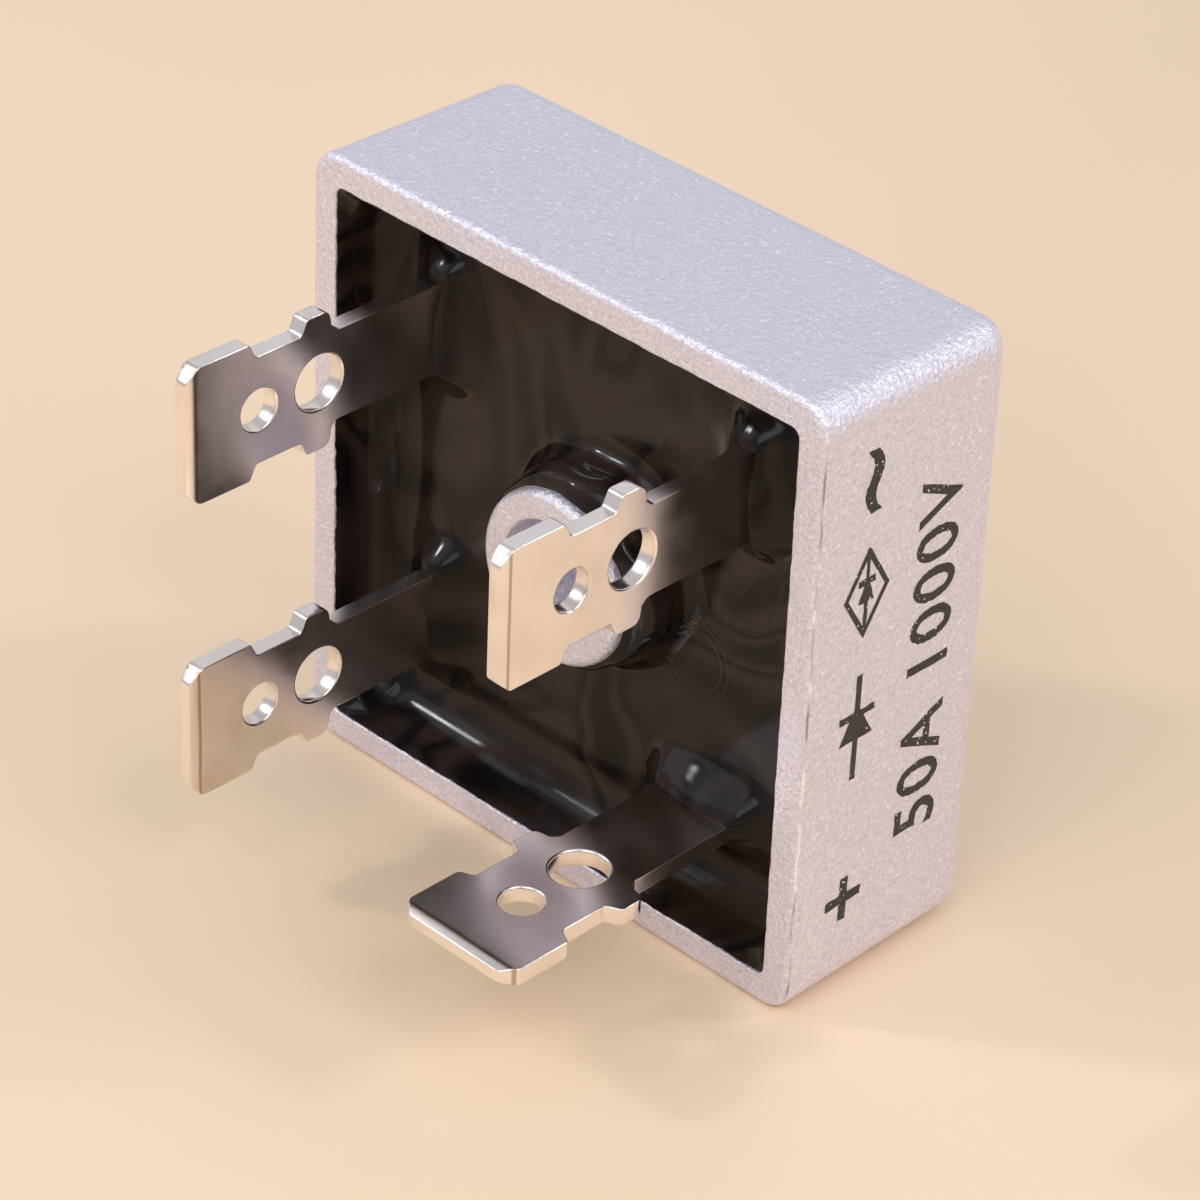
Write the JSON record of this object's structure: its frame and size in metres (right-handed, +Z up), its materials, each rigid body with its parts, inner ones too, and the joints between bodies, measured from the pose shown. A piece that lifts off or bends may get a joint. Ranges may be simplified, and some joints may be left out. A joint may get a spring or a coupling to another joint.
{
  "type": "bridge rectifier",
  "caption": "Square potted bridge rectifier in a die-cast aluminium case with blade terminals and a central screw hole.",
  "frame": {"origin": "the axis of the screw hole where it meets the heat-sink face", "axes": "+Y out of the heat-sink face, so the blade terminals point along -Y; +Z up, with two terminals above and two below; +X towards the side wall with the printed marks"},
  "size_m": [0.0286, 0.0229, 0.0286],
  "materials": {
    "case_metal": "fine-grained die-cast aluminium, satin with small bright sparkles",
    "potting_resin": "glossy black epoxy with faint brown swirls",
    "terminal_plating": "satin nickel plating on copper alloy strip",
    "marking_ink": "thin black printing ink, slightly worn",
    "wafer_ceramic": "unglazed white alumina",
    "copper": "bare rolled copper",
    "silicon": "polished silicon with a glass-passivated edge",
    "solder": "reflowed solder"
  },
  "bodies": {
    "root": {"case": "case_metal", "insulator_wafer": "wafer_ceramic", "plus_plate": "copper", "minus_plate": "copper", "diode_die_1": "silicon", "diode_die_2": "silicon", "diode_die_3": "silicon", "diode_die_4": "silicon", "die_solder_lower_1": "solder", "die_solder_lower_2": "solder", "die_solder_lower_3": "solder", "die_solder_lower_4": "solder", "die_solder_upper_1": "solder", "die_solder_upper_2": "solder", "die_solder_upper_3": "solder", "die_solder_upper_4": "solder", "ac_strap_1": "copper", "ac_strap_2": "copper", "terminal_plus": "terminal_plating", "terminal_minus": "terminal_plating", "terminal_ac_1": "terminal_plating", "terminal_ac_2": "terminal_plating", "foot_solder_plus": "solder", "foot_solder_minus": "solder", "foot_solder_ac_1": "solder", "foot_solder_ac_2": "solder", "potting_resin": "potting_resin"}
  },
  "joints": []
}
